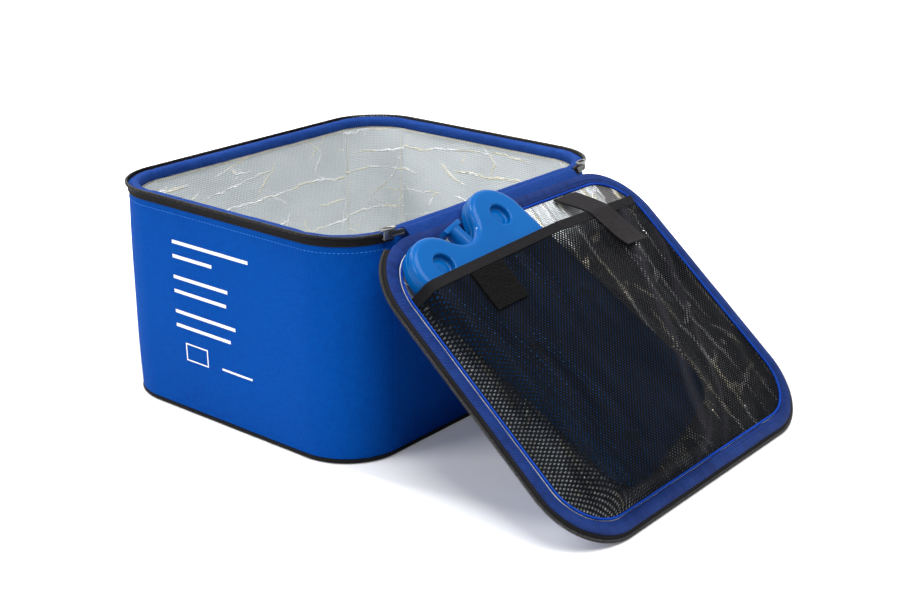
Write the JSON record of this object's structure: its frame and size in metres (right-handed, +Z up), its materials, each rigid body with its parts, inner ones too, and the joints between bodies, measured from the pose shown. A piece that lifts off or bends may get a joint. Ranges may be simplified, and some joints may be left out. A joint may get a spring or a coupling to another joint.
{
  "type": "specimen transport box",
  "caption": "Soft-sided insulated transport box with a zipped hinged lid, foil lining, and a cool pack in a mesh lid pocket.",
  "frame": {"origin": "centre of the base's underside, on the floor", "axes": "+Z up, +X towards the hinge side, -Y towards the plain front panel; the hinge runs along Y"},
  "size_m": [0.4543, 0.3072, 0.1819],
  "materials": {
    "outer_fabric": "satin",
    "rim_fabric": "satin",
    "black_fabric": "matte",
    "foil": "polished",
    "foam": "matte",
    "board": "matte",
    "zip_chain": "satin",
    "webbing": "matte",
    "mesh": "matte",
    "hook_tape": "matte",
    "pack_plastic": "satin",
    "gel": "satin",
    "slider_metal": "satin"
  },
  "bodies": {
    "box": {"outer_wall": "outer_fabric", "wall_foam": "foam", "wall_lining": "foil", "lining_strip_1": "foil", "lining_strip_2": "foil", "lining_strip_3": "foil", "lining_strip_4": "foil", "rim_facing": "rim_fabric", "side_seam_strip": "outer_fabric", "base_fabric": "black_fabric", "base_board": "board", "base_foam": "foam", "base_lining": "foil", "base_piping": "black_fabric", "body_zip_tape": "black_fabric", "body_zip_chain": "zip_chain", "hinge_cloth_body": "rim_fabric"},
    "lid": {"lid_cover": "outer_fabric", "lid_board": "board", "lid_foam": "foam", "lid_lining": "foil", "lid_binding": "rim_fabric", "lid_inner_piping": "outer_fabric", "lid_zip_tape": "black_fabric", "lid_zip_chain": "zip_chain", "hinge_cloth_lid": "rim_fabric", "carry_handle": "webbing", "handle_patch_front": "webbing", "handle_patch_back": "webbing", "pocket_mesh": "mesh", "pocket_mouth_binding": "black_fabric", "pocket_hook_patch": "hook_tape"},
    "closure_strap": {"strap_webbing": "webbing", "strap_pad": "hook_tape"},
    "cool_pack": {"pack_shell": "pack_plastic", "pack_gel": "gel", "pack_plug": "pack_plastic"},
    "slider_front": {"slider_front": "slider_metal"},
    "pull_front": {"pull_front": "slider_metal"},
    "slider_back": {"slider_back": "slider_metal"},
    "pull_back": {"pull_back": "slider_metal"}
  },
  "joints": [
    {"name": "lid_hinge", "type": "hinge", "parent": "box", "child": "lid", "pos_m": [0.129, 0, 0.17], "axis": [0, 1, 0], "range_deg": [-220.3, 0]},
    {"name": "pack_turn", "type": "hinge", "parent": "lid", "child": "cool_pack", "pos_m": [0.22166, -0.08574, 0.09141], "axis": [0.6468, 0, 0.7627], "range_deg": [-14, 0]},
    {"name": "strap_lift", "type": "hinge", "parent": "lid", "child": "closure_strap", "pos_m": [0.14673, 0.06565, 0.1572], "axis": [0, -1, 0], "range_deg": [0, 90]},
    {"name": "slider_front_run", "type": "hinge", "parent": "box", "child": "slider_front", "pos_m": [0.081, -0.105, 0.167], "axis": [0, 0, 1], "range_deg": [-75, 0]},
    {"name": "pull_front_swing", "type": "hinge", "parent": "slider_front", "child": "pull_front", "pos_m": [0.13165, -0.11348, 0.167], "axis": [0, 0, -1], "range_deg": [0, 70]},
    {"name": "slider_back_run", "type": "hinge", "parent": "box", "child": "slider_back", "pos_m": [0.081, 0.105, 0.167], "axis": [0, 0, -1], "range_deg": [-75, 0]},
    {"name": "pull_back_swing", "type": "hinge", "parent": "slider_back", "child": "pull_back", "pos_m": [0.13165, 0.11348, 0.167], "axis": [0, 0, 1], "range_deg": [0, 70]}
  ],
  "couplings": [
    {"joint": "pack_turn", "follows": "lid_hinge", "ratio": 0.06355}
  ]
}
